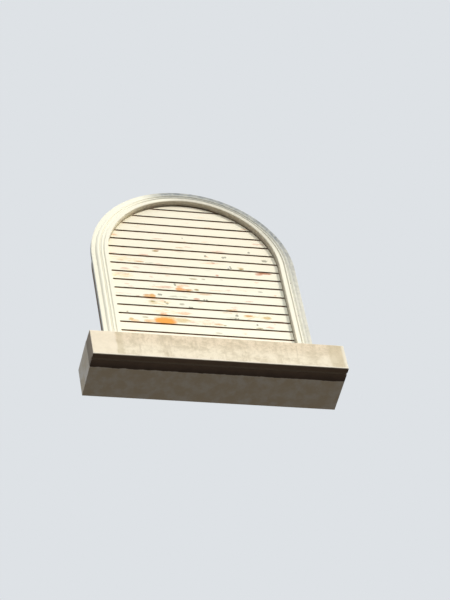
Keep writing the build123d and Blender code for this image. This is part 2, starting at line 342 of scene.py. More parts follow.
def half_width(z, housed, left):
    """Half the width at a height: all of the radius up to the middle, and above it sqrt(r r - h h).

    The left ends follow the frame closely, and only near the crown does their outline drop as well.
    """
    radius, middle = outline_of(housed)
    loose = ramp(z, CLOSE_BELOW_Z, LOOSE_ABOVE_Z)
    middle = np.where(left, SPRING_Z + (middle - SPRING_Z) * loose, middle)
    return np.sqrt(radius ** 2 - np.clip(z - middle, 0.0, radius) ** 2)


def slat_point(u, v, y, bottom, housed, outermost=True):
    """x is u times the half width, z lies the share v of the way from the lower to the upper face.

    Only the outermost points go out to the housed outline. All others keep the free one, so that the
    points in front of the shoulder and behind it coincide and the seam closes.
    """
    low = bottom + (y - SLAT_FRONT_Y) * SLAT_SLOPE
    radius, middle = outline_of(housed)
    z = low + (np.minimum(low + SLAT_FACE, middle + radius) - low) * v
    return points_at(u * half_width(z, housed & outermost, u < 0), y, z)


def slat_piece(name):
    """The six sides of the bent box, from the box of the CAD slat."""
    low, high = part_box(name)
    bottom = low.z
    reaches_crown = bottom + SLAT_FACE > SPRING_Z - SLAT_CROWN_DROP + SLAT_FREE_RADIUS
    u = np.concatenate([[-1.0], np.linspace(-1.0, 1.0, ACROSS), [1.0]])
    outermost = np.arange(len(u)) % (len(u) - 1) == 0
    rise = np.linspace(0.0, 1.0, FACE_ROWS)
    v = np.sin(rise * np.pi / 2) if reaches_crown else rise
    y = np.concatenate([np.linspace(SLAT_FRONT_Y, SLAT_SHOULDER_Y, FREE_ROWS),
                        np.linspace(SLAT_SHOULDER_Y, high.y, HOUSED_ROWS)])
    housed = np.arange(len(y)) >= FREE_ROWS
    shell = Shell()
    shell.grid(slat_point(u[None, :], v[:, None], SLAT_FRONT_Y, bottom, False))
    shell.grid(slat_point(u[None, :], v[:, None], high.y, bottom, True, outermost))
    for end in (0.0, 1.0):
        shell.grid(slat_point(u[None, :], end, y[:, None], bottom, housed[:, None], outermost))
    for end in (-1.0, 1.0):
        shell.grid(slat_point(end, v[:, None], y[None, :], bottom, housed[None, :]))
    piece = shell.piece(name.replace("slat", "worn_slat"))
    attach(piece, "root")
    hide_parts(name)
    return piece


slat_names = sorted(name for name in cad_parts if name.startswith("slat_"))
slats = [slat_piece(name) for name in slat_names]
print(len(slats), "slats,", sum(len(s.data.polygons) for s in slats), "faces")

# %% [markdown]
# ## Flaked paint
#
# In the photograph the paint has come off in many places: a wide orange patch low on the left, a
# squarer peach one above it, and small tan, rose and olive marks. They are listed slat by slat,
# each with its middle, half its width and height in millimetres, its strength, and the colour of
# the wood or old paint that shows. Thin streaks along the grain are fainter, and a seeded draw can
# place those.

# %% Where the paint is gone
ORANGE, PEACH, TAN = colour(255, 171, 72), colour(247, 184, 128), colour(222, 166, 104)
OLIVE, ROSE, STONE = colour(172, 152, 98), colour(232, 180, 152), colour(188, 182, 160)
STRAW, RUST, AMBER = colour(248, 212, 138), colour(190, 118, 84), colour(246, 188, 118)
SAND, CHALK = colour(228, 200, 142), colour(255, 255, 250)
BARE_PATCHES = (
    (-106, 528, 11, 4, 0.95, OLIVE), (-101, 532, 11, 3, 0.8, ROSE), (-140, 509, 18, 4, 0.8, ROSE),
    (-157, 479, 18, 4, 0.8, TAN), (-200, 448, 16, 6, 0.55, ROSE), (-185, 441, 18, 4, 0.5, STRAW),
    (-10, 423, 16, 4, 0.7, OLIVE), (18, 424, 7, 3, 0.85, STONE), (-56, 377, 12, 8, 1.15, PEACH),
    (-47, 376, 12, 6, 0.9, PEACH), (-53, 390, 14, 8, 0.56, PEACH), (-30, 376, 17, 5, 0.85, TAN),
    (-8, 379, 9, 4, 1.0, OLIVE), (-93, 382, 25, 6, 0.72, ROSE), (-105, 380, 48, 8, 0.42, PEACH),
    (-126, 387, 6, 3, 0.5, STONE), (-192, 376, 12, 5, 0.45, ROSE), (-136, 342, 11, 10, 1.0, AMBER),
    (-150, 340, 16, 5, 0.85, AMBER), (-152, 346, 13, 3, 0.9, TAN), (-177, 339, 8, 2, 0.9, RUST),
    (-13, 341, 11, 5, 0.8, ROSE), (-137, 321, 10, 4, 0.85, OLIVE), (-137, 318, 18, 9, 0.7, SAND),
    (-120, 316, 55, 13, 0.46, STRAW), (-108, 325, 10, 3, 0.7, PEACH), (-57, 317, 9, 5, 0.9, STONE),
    (-53, 281, 26, 8, 0.62, PEACH), (-105, 284, 52, 12, 0.42, STRAW), (-114, 273, 13, 6, 0.75, PEACH),
    (-214, 274, 4, 3, 0.75, OLIVE), (-113, 246, 34, 15, 1.25, ORANGE), (-108, 258, 38, 8, 0.8, STRAW),
    (-155, 243, 22, 9, 0.66, AMBER), (-64, 252, 30, 12, 0.74, SAND), (-207, 246, 9, 6, 0.95, SAND),
    (-196, 240, 20, 7, 0.62, AMBER), (-166, 256, 11, 3, 0.9, OLIVE), (-10, 248, 55, 12, 0.44, PEACH),
    (-215, 419, 45, 14, 0.48, STRAW), (-190, 487, 60, 13, 0.42, STRAW), (134, 477, 9, 4, 0.95, OLIVE),
    (130, 480, 14, 6, 0.5, STRAW), (56, 494, 7, 4, 0.95, ROSE), (97, 481, 5, 4, 1.0, CHALK),
    (196, 464, 25, 4, 1.0, RUST), (181, 459, 13, 5, 0.8, ROSE), (60, 444, 6, 4, 0.9, ROSE),
    (70, 427, 7, 3, 0.5, STONE), (175, 387, 9, 4, 0.8, STONE), (216, 376, 6, 5, 0.6, PEACH),
    (80, 306, 18, 3, 0.75, TAN), (127, 287, 14, 4, 1.05, TAN), (130, 283, 22, 8, 0.55, STRAW),
    (126, 276, 10, 4, 0.5, PEACH), (179, 283, 14, 8, 0.95, SAND), (36, 245, 18, 6, 0.66, TAN),
    (54, 242, 6, 3, 0.9, OLIVE), (151, 240, 12, 3, 0.95, OLIVE), (181, 246, 14, 5, 0.66, ROSE),
    (32, 211, 12, 3, 0.95, STONE), (210, 271, 26, 2, 0.7, ROSE), (165, 285, 45, 12, 0.42, STRAW))
STREAKS, STREAK_SEED = 110, 31


def faint_streaks():
    """Thin weak patches all over the slats, most of them peach and rose, a few greenish grey."""
    chance = np.random.default_rng(STREAK_SEED)
    x, z = chance.uniform(-235, 235, STREAKS), chance.uniform(100, 700, STREAKS)
    wide, tall = chance.uniform(8, 38, STREAKS), chance.uniform(3.0, 6.0, STREAKS)
    strength = chance.uniform(0.34, 0.60, STREAKS) * np.where(z < 600, 1.0, 0.75)
    shade = chance.choice(6, STREAKS)
    shades = (PEACH, PEACH, ROSE, ROSE, TAN, STONE)
    return [(*row, shades[pick]) for *row, pick in zip(x, z, wide, tall, strength, shade)]


patches = list(BARE_PATCHES) + faint_streaks()
print("patches:", len(BARE_PATCHES), "streaks:", STREAKS)

# %% [markdown]
# An image could hold the patches, but it would need a flat layout of each slat. Here each point of
# the mesh stores how bare it is, in which colour, and whether a brush could reach it. The finish
# reads that and roughens all edges, so that a patch doesn't look like a stamp.

# %% Wear on each point of the slats
def points_of(mesh):
    """All points of a mesh as an array of n by 3."""
    flat = np.empty(len(mesh.vertices) * 3, np.float32)
    mesh.vertices.foreach_get("co", flat)
    return flat.reshape(-1, 3).astype(float)


def carry(mesh, name, values):
    """Stores one number for each point, for the finish to read."""
    mesh.attributes.new(name, "FLOAT", "POINT").data.foreach_set("value", values.astype(np.float32))


def wear_of(points, patches):
    """How bare each point is, and in which colour: a patch is strongest in its middle."""
    bare = np.zeros(len(points))
    tint = np.ones((len(points), 4))
    for x, z, half_x, half_z, strength, shade in patches:
        away = ((points[:, 0] / MM - x) / half_x) ** 2 + ((points[:, 2] / MM - z) / half_z) ** 2
        amount = strength * np.clip(1.15 - away * 0.8, 0.0, 1.0)
        near = amount > bare
        tint[near] = shade
        bare = np.maximum(bare, amount)
    return bare, tint


def inside_gap(points):
    """1 on faces that lie behind the front and away from the ends, where no brush could reach."""
    x, y, z = points.T
    clear = half_width(z, False, x < 0) - np.abs(x)
    deep = ramp(y, SLAT_FRONT_Y + 0.8 * MM, SLAT_FRONT_Y + 2.2 * MM)
    return deep * ramp(clear, 0.0, MM)


for slat in slats:
    points = points_of(slat.data)
    bare, tint = wear_of(points, patches)
    carry(slat.data, "bare", bare)
    carry(slat.data, "unpainted", inside_gap(points))
    tints = slat.data.attributes.new("bare_tint", "FLOAT_COLOR", "POINT")
    tints.data.foreach_set("color", tint.ravel())
print("points that store wear:", sum(len(slat.data.vertices) for slat in slats))

# %% [markdown]
# ## Patterns
#
# Weather leaves clouds, streaks and soft borders. Images could show them, but noises have no seams
# and any fineness. These helpers name the few steps that each finish needs: a noise that may be
# stretched, the place itself, sums of two values, and a value that the mesh stores.

# %% Patterns and sums from nodes
def place(tree, scale=(1.0, 1.0, 1.0), shift=(0.0, 0.0, 0.0)):
    """Object coordinates, stretched so that a pattern can be long one way and short another."""
    where = tree.nodes.new("ShaderNodeTexCoord").outputs["Object"]
    made = put(tree, "ShaderNodeMapping", {"Vector": where, "Scale": scale, "Location": shift})
    return made.outputs[0]


def axes(tree):
    """The coordinates of a place as three values."""
    return tuple(put(tree, "ShaderNodeSeparateXYZ", {0: place(tree)}).outputs)


def noise(tree, fineness, detail=4.0, roughness=0.55, shift=(0.0, 0.0, 0.0)):
    """A cloudy pattern about 0.5. Along each axis a cloud is about one metre over the fineness."""
    made = put(tree, "ShaderNodeTexNoise", {"Vector": place(tree, fineness, shift), "Scale": 1.0,
                                            "Detail": detail, "Roughness": roughness})
    return made.outputs["Fac"]


def sums(tree, operation, first, second):
    """One sum on two values, such as ADD or SUBTRACT. The result is kept from 0 to 1."""
    made = put(tree, "ShaderNodeMath", {0: first, 1: second}, operation=operation, use_clamp=True)
    return made.outputs[0]


def product(tree, first, second):
    """The first value times the second."""
    return sums(tree, "MULTIPLY", first, second)


def larger(tree, first, second):
    """The larger of two values."""
    return sums(tree, "MAXIMUM", first, second)


def stored(tree, name, output="Fac"):
    """A value that the mesh carries for each of its points."""
    return put(tree, "ShaderNodeAttribute", {}, attribute_name=name).outputs[output]


def finish(name, build):
    """A material whose shader gets its colour, roughness and bump height from a function."""
    made, tree, shader = blank(name)
    tint, rough, height, depth = build(tree, shader)
    bump = put(tree, "ShaderNodeBump", {"Height": height, "Distance": depth, "Strength": 1.0})
    for socket, value in (("Base Color", tint), ("Roughness", rough), ("Normal", bump.outputs[0])):
        tree.links.new(value, shader.inputs[socket])
    return made


print("helpers ready, materials so far:", len(bpy.data.materials))

# %% [markdown]
# ## Paint on the slats
#
# Old oil paint on slats is cream, with long thin streaks along the grain where it has worn thin and
# the wood shows warm through it. A few dark specks of mould sit on it, at places read off the
# photograph. Inside the gaps the brush never reached, so behind the front lip the board is bare,
# brown and dirty: that gives the dark lines between the slats. A noise that is stretched along X
# makes the streaks. A patch has two steps: a wide thin stain, and a core of bare wood.
#
# The long edges are softened by a bevel, on all slats but the one at the crown: its points run
# together at the tip, and a bevel would fold over itself there.

# %% Finish of the slats
PAINT_CREAM = colour(251, 249, 229)
# Each speck is its middle and its size, in millimetres
SPECKS = ((-117, 350, 5.4), (-112, 350, 5.7), (-104, 321, 5.1), (-98, 316, 5.7), (93, 285, 7.0),
          (88, 520, 5.7), (94, 521, 5.4), (37, 521, 5.9), (204, 517, 6.2), (210, 517, 6.8),
          (167, 548, 5.4), (103, 483, 4.1), (104, 477, 5.1), (97, 474, 4.6), (9, 340, 4.1),
          (16, 339, 4.6), (88, 273, 4.6), (95, 272, 4.1), (-36, 306, 4.6), (-30, 306, 4.3),
          (146, 253, 4.6), (-67, 396, 4.9), (-66, 391, 3.8), (-20, 590, 3.0))


def specks_of(tree):
    """1 inside the dark specks, whose rims a little noise makes uneven."""
    where = place(tree, (1.0, 0.0, 1.0))
    uneven = noise(tree, (500.0, 500.0, 900.0), 2.0)
    found = 0.0
    for x, z, size in SPECKS:
        middle = (x * MM, 0.0, z * MM)
        away = put(tree, "ShaderNodeVectorMath", {0: where, 1: middle}, operation="DISTANCE")
        rim = sums(tree, "ADD", away.outputs["Value"], product(tree, uneven, size * MM))
        found = larger(tree, found, step(tree, rim, 1.4 * size * MM, 0.9 * size * MM))
    return found


def shade_smooth(piece, sharp_angle):
    """Rounds the shading except across edges that turn by more than an angle in degrees."""
    mesh = piece.data
    mesh.polygons.foreach_set("use_smooth", np.ones(len(mesh.polygons), bool))
    mesh.set_sharp_from_angle(angle=np.radians(sharp_angle))


def slat_paint(tree, shader):
    """Cream paint in front, stained and flaked by the stored wear, and dirty wood inside the gaps."""
    streaks = noise(tree, (9.0, 160.0, 330.0), 6.0, 0.6)
    clouds = noise(tree, (5.0, 30.0, 24.0), 3.0, shift=(3.0, 1.0, 2.0))
    ragged = noise(tree, (55.0, 300.0, 380.0), 8.0, 0.75)
    warm = mix(tree, step(tree, clouds, 0.35, 0.68), colour(252, 240, 208), colour(250, 232, 220))
    _, depth, height_z = axes(tree)
    cream = mix(tree, step(tree, height_z, 330 * MM, 560 * MM), PAINT_CREAM, colour(254, 246, 223))
    paint = mix(tree, step(tree, streaks, 0.50, 0.80, 0.0, 0.75), cream, warm)
    thin = step(tree, noise(tree, (24.0, 90.0, 420.0), 6.0, 0.65, (7.0, 2.0, 5.0)), 0.62, 0.74)
    paint = mix(tree, product(tree, thin, 0.5), paint, colour(238, 206, 174))
    paint = mix(tree, product(tree, specks_of(tree), 0.75), paint, colour(112, 108, 88))
    grain = noise(tree, (14.0, 300.0, 520.0), 5.0, 0.65)
    bare = stored(tree, "bare")
    worn = sums(tree, "ADD", bare, step(tree, ragged, 0.25, 0.75, -0.35, 0.35))
    stained, flaked = step(tree, worn, 0.28, 0.62, 0.0, 0.62), step(tree, worn, 0.62, 0.90)
    tone = stored(tree, "bare_tint", "Color")
    wood = mix(tree, step(tree, grain, 0.2, 0.55), colour(222, 166, 104), tone)
    front = mix(tree, flaked, mix(tree, stained, paint, tone), wood)
    dirty = mix(tree, clouds, colour(200, 112, 68), colour(198, 146, 94))
    deeper = step(tree, depth, SLAT_FRONT_Y + 8 * MM, SLAT_FRONT_Y + 20 * MM)
    dirty = mix(tree, deeper, dirty, mix(tree, grain, colour(132, 104, 74), colour(188, 156, 116)))
    inside = stored(tree, "unpainted")
    tint = mix(tree, inside, front, dirty)
    rough = step(tree, larger(tree, flaked, inside), 0.0, 1.0, 0.5, 0.85)
    film = sums(tree, "SUBTRACT", 1.0, flaked)
    height = sums(tree, "ADD", product(tree, film, 0.5), product(tree, grain, 0.35))
    return tint, rough, height, 0.4 * MM


slat_finish = finish("slat_paint_flaked", slat_paint)
for slat in slats:
    coat(slat, slat_finish)
    shade_smooth(slat, 30.0)
for slat in slats[1:]:
    edge = slat.modifiers.new("worn_edges", "BEVEL")
    edge.width = 0.8 * MM
    edge.segments = 2
    edge.limit_method = "ANGLE"
    edge.angle_limit = np.radians(50.0)
print("slat finish on", len(slats), "slats")

# %% [markdown]
# ## Mouldings
#
# The frame carries a planted moulding: a narrow quirk, a bead, a hollow, a flat round and a set-back
# lip. It is planed in straight lengths for the jambs and turned for the arch. In the CAD model its
# round members are a few flats. Here the section is a smooth closed line, carried up the jambs or
# round the arch. A bevelled curve could do that, but a grid lets the dirt and painted shade be stored
# point by point.
# The section's numbers are insets from the opening and depths from the front of the frame.

# %% Section of the moulding
NOSE_WIDTH = mould_low.x - OPENING_RADIUS
MOULDING_END = mould_high.x - OPENING_RADIUS - 0.1 * MM
MOULDING_BACK_Y = mould_high.y
QUIRK_Y = 5.0 * MM
BEAD_FROM, BEAD_TO = 15.0 * MM, 20.4 * MM
ROUND_FROM, ROUND_TO = 26.0 * MM, 34.0 * MM
BEAD_SAG, HOLLOW_SAG, ROUND_SAG = 2.69 * MM, 1.6 * MM, 2.0 * MM
ROUND_FALL = 3.5 * MM
LIP_Y = 10.0 * MM


def arc(start, end, sag, count):
    """Points on a circle from start to end that stands out by sag: a chord plus an arch above it."""
    start, end = np.array(start, float), np.array(end, float)
    chord = end - start
    length = np.linalg.norm(chord)
    radius = (length ** 2 / 4 + sag ** 2) / (2 * abs(sag))
    half = np.arcsin(min(1.0, length / 2 / radius))
    turn = np.linspace(-half, half, count)
    along = radius * np.sin(turn) + length / 2
    lift = np.sign(sag) * (radius * np.cos(turn) - radius * np.cos(half))
    side = np.array([chord[1], -chord[0]]) / length
    return start + along[:, None] * chord / length + lift[:, None] * side


def moulding_section():
    """The closed line as inset and depth: flat, quirk, bead, hollow, round, lip, edge, back."""
    flat = [(NOSE_WIDTH, MOULDING_BACK_Y), (NOSE_WIDTH, QUIRK_Y + 1 * MM), (NOSE_WIDTH, QUIRK_Y),
            (BEAD_FROM - 0.4 * MM, QUIRK_Y)]
    bead = arc((BEAD_FROM, QUIRK_Y), (BEAD_TO, QUIRK_Y), BEAD_SAG, 13)
    hollow = arc((BEAD_TO, QUIRK_Y), (ROUND_FROM, QUIRK_Y), -HOLLOW_SAG, 9)[1:]
    swell = arc((ROUND_FROM, QUIRK_Y), (ROUND_TO, QUIRK_Y + ROUND_FALL), ROUND_SAG, 11)[1:]
    lip = [(ROUND_TO, LIP_Y - 0.3 * MM), (ROUND_TO + 0.3 * MM, LIP_Y), (40 * MM, LIP_Y)]
    edge = arc((MOULDING_END - 1.2 * MM, LIP_Y), (MOULDING_END, LIP_Y + 1.2 * MM), 0.35 * MM, 6)
    back = [(MOULDING_END, 16 * MM), (MOULDING_END, MOULDING_BACK_Y), (28 * MM, MOULDING_BACK_Y)]
    return np.concatenate([flat, bead, hollow, swell, lip, edge, back])


section = moulding_section()
print("section points:", len(section))

# %% [markdown]
# The section is drawn level at the spring line. A straight run lifts it, and the arch turns it about
# the middle of the head: a point at distance r from the middle goes to (r cos a, r sin a). A hair of
# wander in the depth stands for a hand-planed face. On the left, many coats of paint have filled the
# quirk and the hollow.

# %% Mouldings along the jambs and the arch
PAINT_FILL = 1.8 * MM
FILL_FROM_X, FILL_TO_X = -80 * MM, -180 * MM
PLANING = 0.12 * MM
INSET, DEPTH = section[:, 0][:, None], section[:, 1][:, None]


def wander(place_along, length, seed, waves=5):
    """A smooth random line from -1 to 1: a sum of seeded sine waves, the longer the stronger."""
    chance = np.random.default_rng(seed)
    total = np.zeros_like(place_along, dtype=float)
    for wave in range(1, waves + 1):
        total += np.sin(2 * np.pi * wave * place_along / length + chance.uniform(0, 2 * np.pi)) / wave
    return total / sum(1 / wave for wave in range(1, waves + 1))


def depth_at(x, waver):
    """The section's depth at a place: the grooves filled by paint on the left, the face hand-planed."""
    fill = PAINT_FILL * ramp(x, FILL_FROM_X, FILL_TO_X)
    in_quirk = INSET < BEAD_FROM + 2 * MM
    in_hollow = (INSET > BEAD_TO - 2 * MM) & (INSET < ROUND_FROM + 1 * MM)
    floor = np.where(in_quirk, QUIRK_Y, QUIRK_Y + HOLLOW_SAG) - fill
    grooved = (in_quirk | in_hollow) & (DEPTH <= QUIRK_Y + HOLLOW_SAG)
    depth = np.where(grooved, np.minimum(DEPTH, floor), DEPTH)
    return depth + PLANING * (1 + waver)[None, :] * (DEPTH < MOULDING_BACK_Y - 1 * MM)


def straight_moulding(side):
    """The section lifted from the seat to the spring line: only z changes along a jamb."""
    z = np.linspace(SEAT_Z, SPRING_Z, 60)
    x = side * (OPENING_RADIUS + INSET + 0 * z[None, :])
    y = depth_at(x, wander(z, 0.4, 11 + side))
    return points_at(x, y, z[None, :])


def arch_moulding():
    """The section turned half round the head: x is r cos a, and z is r sin a above the spring line."""
    angle = np.linspace(0.0, np.pi, 181)
    radius = OPENING_RADIUS + INSET
    x = radius * np.cos(angle)
    y = depth_at(x, wander(angle, np.pi, 5))
    return points_at(x, y, SPRING_Z + radius * np.sin(angle))


carried = {"moulding_left": straight_moulding(-1), "moulding_right": straight_moulding(1),
           "moulding_arch": arch_moulding()}
print("rows and columns:", [points.shape[:2] for points in carried.values()])

# %% [markdown]
# On the right and at the top the grooves stayed open. There they and the outer members are
# darkened: dirt, painted shade in the grooves and a painted shadow of the brickwork. A noise alone
# can't know where a groove is, but the inset of each point tells it, so the darkening is worked out
# from that and stored.

# %% Dirt and painted shade on the mouldings
# Each band is the inset of its middle and its reach in millimetres, and its strength
# Grooves darkened by dirt and by painted shade in them.
DIRT_AND_SHADE_BANDS = ((13.6, 1.4, 1.0), (22.6, 3.0, 0.7), (34.4, 1.2, 1.0))


def dirt_and_shade_of(points):
    """Dirt and painted shade in the quirk, hollow and lip's corner, each a soft band of the inset.

    Only the part right of the middle gets them. The head is darker, most at the crown and on the
    outer members: dirt, and there a painted shadow of the brickwork. Points deeper than about 15 mm,
    the back and the outer side, take the full tone.
    """
    x, y, z = points.T
    inset = (np.hypot(x, np.clip(z - SPRING_Z, 0.0, None)) - OPENING_RADIUS) / MM
    toward_right = ramp(x, -125 * MM, -45 * MM)
    on_head = ramp(z, SPRING_Z - 110 * MM, SPRING_Z + 130 * MM)
    at_crown = ramp(z, SPRING_Z + 150 * MM, SPRING_Z + 240 * MM)
    # The head is darker as a whole, most at the crown: dirt and a painted shadow of the brickwork.
    dirt_and_shade = 0.46 * on_head + 0.2 * at_crown
    for middle, reach, strength in DIRT_AND_SHADE_BANDS:
        band = np.clip(1.4 - np.abs(inset - middle) / reach, 0.0, 1.0)
        dirt_and_shade = np.maximum(dirt_and_shade, strength * (0.6 + 0.4 * on_head) * band)
    # Outer members darker still, most on the head: dirt and a painted shadow of the brickwork.
    dirt_and_shade = np.maximum(dirt_and_shade, (0.42 + 0.5 * on_head) * ramp(inset, 22, 30))
    return np.maximum(dirt_and_shade * toward_right, ramp(y, 11 * MM, 15 * MM))


def moulding_piece(name, points):
    """A run of the section with a flat cap at each end, and the grime of each of its points."""
    piece = Shell().carried(points).piece("planed_" + name)
    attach(piece, "root")
    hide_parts(name)
    carry(piece.data, "dirt_and_shade", dirt_and_shade_of(points_of(piece.data)))
    shade_smooth(piece, 35.0)
    return piece


mouldings = [moulding_piece(name, points) for name, points in carried.items()]
print("moulding faces:", [len(m.data.polygons) for m in mouldings])

# %% [markdown]
# ## Paint on the frame
#
# The frame kept more of its paint than the slats. It is cream, a little chalky, with a few chips,
# and greyer in the quirks and on the right of the head: dirt, painted shade and a painted shadow of
# the brickwork around it. The frame's own boards, which come from the CAD model, are painted in
# front, painted grey as shade on the faces around the opening from the middle to the right, and bare
# further back, where nobody saw them. On the right of the head the bare wood starts nearer the
# front, which darkens the deep soffit there as painted shade. The depth Y tells these apart.

# %% Finish of the frame
FRAME_CREAM = colour(254, 249, 229)
PAINT_END_Y = SLAT_FRONT_Y + 0.8 * MM


def old_timber(tree, light_tone, dark_tone):
    """Bare aged timber: fine grain, broad tone changes and a few dark stains."""
    grain = noise(tree, (60.0, 220.0, 60.0), 8.0, 0.7)
    broad = noise(tree, (6.0, 12.0, 6.0), 3.0)
    tone = sums(tree, "ADD", product(tree, grain, 0.6), product(tree, broad, 0.4))
    return mix(tree, step(tree, tone, 0.35, 0.65), dark_tone, light_tone), grain


def chalky_paint(tree, dirt_and_shade, dirt_and_shade_tone):
    """Cream paint with faint clouds, fine chalk, and a darker tone for dirt and painted shade."""
    clouds = noise(tree, (9.0, 9.0, 5.0), 4.0)
    fine = noise(tree, (90.0, 160.0, 90.0), 6.0, 0.7)
    paint = mix(tree, step(tree, clouds, 0.40, 0.75, 0.0, 0.6), FRAME_CREAM, colour(250, 244, 225))
    paint = mix(tree, step(tree, fine, 0.60, 0.75, 0.0, 0.14), paint, colour(226, 216, 196))
    dirt = product(tree, dirt_and_shade, step(tree, fine, 0.3, 0.7, 0.65, 1.0))
    return mix(tree, dirt, paint, dirt_and_shade_tone), fine


def moulding_paint(tree, shader):
    """Chalky paint, the stored dirt and painted shade in blue grey, and small chips down to wood."""
    # The blue grey tone stands for dirt and for painted shade lit by the sky.
    tint, fine = chalky_paint(tree, stored(tree, "dirt_and_shade"), colour(98, 107, 117))
    chips = noise(tree, (120.0, 200.0, 120.0), 5.0, 0.6, (5.0, 3.0, 1.0))
    chips = step(tree, chips, 0.72, 0.76)
    tint = mix(tree, product(tree, chips, 0.6), tint, colour(190, 168, 136))
    rough = step(tree, fine, 0.3, 0.8, 0.42, 0.62)
    height = sums(tree, "SUBTRACT", fine, product(tree, chips, 0.5))
    return tint, rough, height, 0.2 * MM


def frame_paint(tree, shader):
    """Chalky paint down to a ragged line behind the front, and old timber further back.

    The reveal is painted grey from the middle to the right, as painted shade. The right half of the
    head is greyed by dirt and a painted shadow of the brickwork, and there the bare timber starts
    nearer the front, which darkens the deep soffit as painted shade. The bottom rail has an even
    thin dirt of its own.
    """
    across, depth, height_z = axes(tree)
    sideways = put(tree, "ShaderNodeMath", {0: across}, operation="ABSOLUTE").outputs[0]
    uneven = noise(tree, (80.0, 80.0, 80.0), 5.0)
    edge = sums(tree, "ADD", depth, product(tree, uneven, 2.0 * MM))
    head_right = product(tree, step(tree, across, -70 * MM, 10 * MM),
                         step(tree, height_z, SPRING_Z + 20 * MM, SPRING_Z + 120 * MM))
    # Reveal faces from the middle to the right are painted grey: painted shade.
    reveal = product(tree, step(tree, depth, 0.8 * MM, 2.4 * MM),
                     step(tree, across, -190 * MM, -90 * MM))
    rail_end = OPENING_RADIUS - 1 * MM
    on_rail = product(tree, step(tree, sideways, rail_end - 1 * MM, rail_end, 1.0, 0.0),
                      step(tree, height_z, SEAT_Z + 60 * MM, SEAT_Z + 70 * MM, 1.0, 0.0))
    reveal_shade_and_rail_dirt = larger(tree, sums(tree, "SUBTRACT", reveal, on_rail), product(tree, on_rail, 0.2))
    # The right half of the head is greyed: dirt and a painted shadow of the brickwork.
    dirt_and_shade = larger(tree, reveal_shade_and_rail_dirt, product(tree, head_right, 0.56))
    # This tone stands for dirt and for painted shade.
    paint, fine = chalky_paint(tree, dirt_and_shade, colour(174, 166, 152))
    timber, grain = old_timber(tree, colour(150, 128, 102), colour(96, 80, 64))
    # On the right of the head bare wood starts nearer the front and darkens the deep soffit: painted
    # shade. At the right haunch less of it is bare.
    end = step(tree, head_right, 0.2, 0.9, SLAT_SHOULDER_Y + 2 * MM, PAINT_END_Y)
    bare_timber = step(tree, sums(tree, "SUBTRACT", edge, end), 0.6 * MM, 2.2 * MM)
    haunch = product(tree, step(tree, across, 60 * MM, 150 * MM, 0.0, 0.45),
                     step(tree, depth, SLAT_SHOULDER_Y, SLAT_SHOULDER_Y + 3 * MM, 1.0, 0.0))
    bare_timber = product(tree, bare_timber, sums(tree, "SUBTRACT", 1.0, haunch))
    rough = step(tree, bare_timber, 0.0, 1.0, 0.5, 0.85)
    height = sums(tree, "ADD", product(tree, fine, 0.5), product(tree, grain, 0.4))
    return mix(tree, bare_timber, paint, timber), rough, height, 0.3 * MM


moulding_finish = finish("moulding_paint_chalky", moulding_paint)
frame_finish = finish("frame_paint_chalky", frame_paint)
for piece in mouldings:
    coat(piece, moulding_finish)
painted = ("jamb_left", "jamb_right", "head_left", "head_right", "bottom_rail")
for name in painted:
    coat(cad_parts[name], frame_finish)
print("painted CAD nodes:", len(painted))

# %% [markdown]
# ## Sill
#
# The sill is one long stone: a plumb front with small arrises all round, a sloped wash on top, level
# seats under the ends of the frame, and a drip groove below. It could be a block with cuts, but a
# section carried along X keeps the real sizes and has points along its edges for the wear.

# %% Section of the stone, station by station
SEAT_DEPTH_Y = -37.0 * MM
FACE_TOP_Z = SEAT_Z - 7.0 * MM
LEFT_X, RIGHT_X = sill_low.x, sill_high.x
FRONT_Y, BACK_Y = sill_low.y, sill_high.y
ARRIS = 1.5 * MM
DRIP_Y, DRIP_RADIUS = FRONT_Y + 20.0 * MM, 4.0 * MM
SEAT_INSIDE_X = mould_high.x


def sill_stations():
    """Places along X: close together at the ends and at the inner edges of the seats."""
    x = np.linspace(LEFT_X, RIGHT_X, 231)
    near = np.array([0.3, 0.8, 1.5, 4.5]) * MM
    edges = np.array([-1, 1])[:, None] * (SEAT_INSIDE_X + np.array([-0.3, 0.0, 0.3]) * MM)
    parts = [x, LEFT_X + near, RIGHT_X - near, edges.ravel()]
    return np.unique(np.concatenate(parts).round(6))


def sill_section(x):
    """Rows of the section at each station, from the lower back edge round the front to the upper back.

    The wash rises evenly from the top of the front to the seat's height. The drip is a half circle.
    """
    on_seat = ramp(np.abs(x), SEAT_INSIDE_X, SEAT_INSIDE_X + 0.3 * MM)
    wash = lambda y: SEAT_Z + (SEAT_Z - FACE_TOP_Z) * np.minimum(y, 0.0) / -FRONT_Y
    rows = [(y, 0.0) for y in np.linspace(BACK_Y, DRIP_Y + DRIP_RADIUS, 9)[:-1]]
    rows += [(DRIP_Y + DRIP_RADIUS * np.cos(a), DRIP_RADIUS * np.sin(a))
             for a in np.linspace(0.0, np.pi, 13)]
    rows += [(y, 0.0) for y in (FRONT_Y + 8 * MM, FRONT_Y + ARRIS)]
    rows += [(FRONT_Y, z) for z in np.linspace(ARRIS, FACE_TOP_Z - ARRIS, 23)]
    rows += [(y, wash(y)) for y in np.linspace(FRONT_Y + ARRIS, SEAT_DEPTH_Y, 8)]
    rows += [(y, wash(y) * (1 - on_seat) + SEAT_Z * on_seat)
             for y in (SEAT_DEPTH_Y + 0.3 * MM, -28 * MM, -18 * MM, -9 * MM, -1 * MM)]
    rows += [(y, SEAT_Z) for y in np.linspace(0.0, BACK_Y, 6)]
    return np.array([points_at(x, y, z) for y, z in rows])


sharp_stone = sill_section(sill_stations())
print("rows and stations of the stone:", sharp_stone.shape[:2])

# %% [markdown]
# The edges of the stone have crumbled a little. Sculpting could show that, but a formula keeps the
# sizes: each edge gives way by a small amount that wanders along the stone.

# %% Worn edges
CRUMBLED = 0.6 * MM


